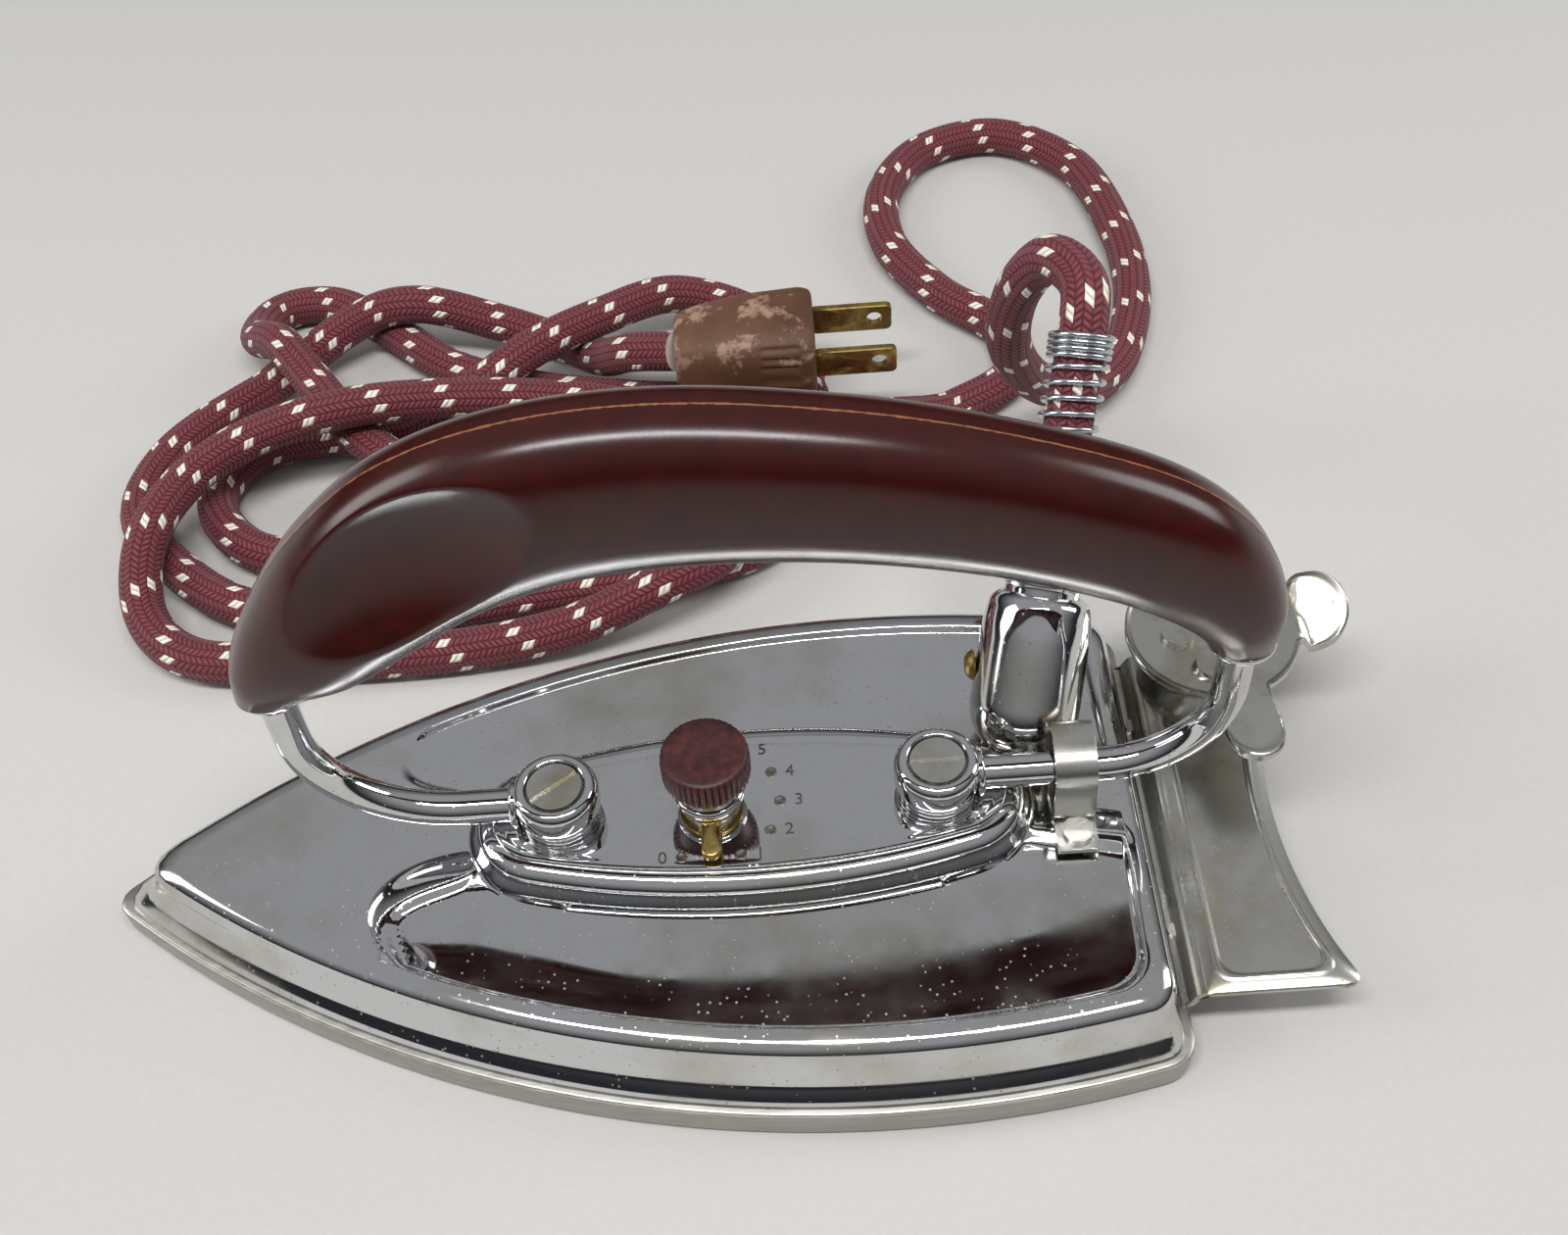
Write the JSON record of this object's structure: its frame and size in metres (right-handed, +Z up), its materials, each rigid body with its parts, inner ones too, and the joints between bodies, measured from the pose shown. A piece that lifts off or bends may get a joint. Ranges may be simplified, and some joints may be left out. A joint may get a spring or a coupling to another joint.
{
  "type": "clothes iron",
  "caption": "Folding travel iron: chrome body with thermostat dial and heel bracket, maroon bow handle on a wire bail that folds down, braided cord with plug.",
  "frame": {"origin": "middle of the ironing face, on the soleplate's underside, halfway between tip and heel", "axes": "+X from the tip to the heel, +Z up from the ironing face to the handle, +Y to the side the cord leaves"},
  "size_m": [0.2252, 0.2449, 0.11],
  "materials": {
    "sole_metal": "worn, dull",
    "chrome": "mirror",
    "bright_steel": "bright, lightly pitted",
    "phenolic": "gloss, dark maroon",
    "knob_phenolic": "satin, dark maroon",
    "brass": "aged",
    "spring_steel": "bright wire",
    "braid": "woven",
    "plug_rubber": "worn, stained",
    "mica": "translucent flakes",
    "ribbon": "oxidised",
    "cast": "cast",
    "ceramic": "satin",
    "lead": "woven sleeve"
  },
  "bodies": {
    "root": {"soleplate": "sole_metal", "lower_mica": "mica", "heating_element": "ribbon", "upper_mica": "mica", "pressure_plate": "cast", "pressure_screws": "bright_steel", "top_cover": "chrome", "dial_plate": "chrome", "front_post": "chrome", "rear_post": "chrome", "post_screws": "bright_steel", "shaft_bushing": "bright_steel", "thermostat_bracket": "brass", "bimetal_strip": "brass", "contact_block": "ceramic", "contact_arm": "brass", "contact_points": "bright_steel", "terminal_block": "ceramic", "terminal_screws": "brass", "supply_leads": "lead", "cord_hood": "chrome", "hood_screw": "brass", "cord_tube": "chrome", "strain_relief_spring": "spring_steel", "cord": "braid", "plug_body": "plug_rubber", "plug_blades": "brass", "bail_clip": "bright_steel", "clip_rivet": "bright_steel", "heel_plate": "bright_steel", "heel_plate_rivets": "bright_steel", "heel_rest": "bright_steel", "heel_rest_rivets": "bright_steel"},
    "handle": {"front_bail": "chrome", "rear_bail": "chrome", "handle_grip": "phenolic", "front_ferrule": "chrome", "rear_ferrule": "chrome"},
    "dial": {"thermostat_shaft": "bright_steel", "pointer": "brass", "knob_collar": "chrome", "knob": "knob_phenolic"}
  },
  "joints": [
    {"name": "handle_fold", "type": "hinge", "parent": "root", "child": "handle", "pos_m": [0.02, 0, 0.026], "axis": [1, 0, 0], "range_deg": [0, 95]},
    {"name": "thermostat_turn", "type": "hinge", "parent": "root", "child": "dial", "pos_m": [0.014, 0, 0.03], "axis": [0, 0, 1], "range_deg": [-26, 150]}
  ]
}
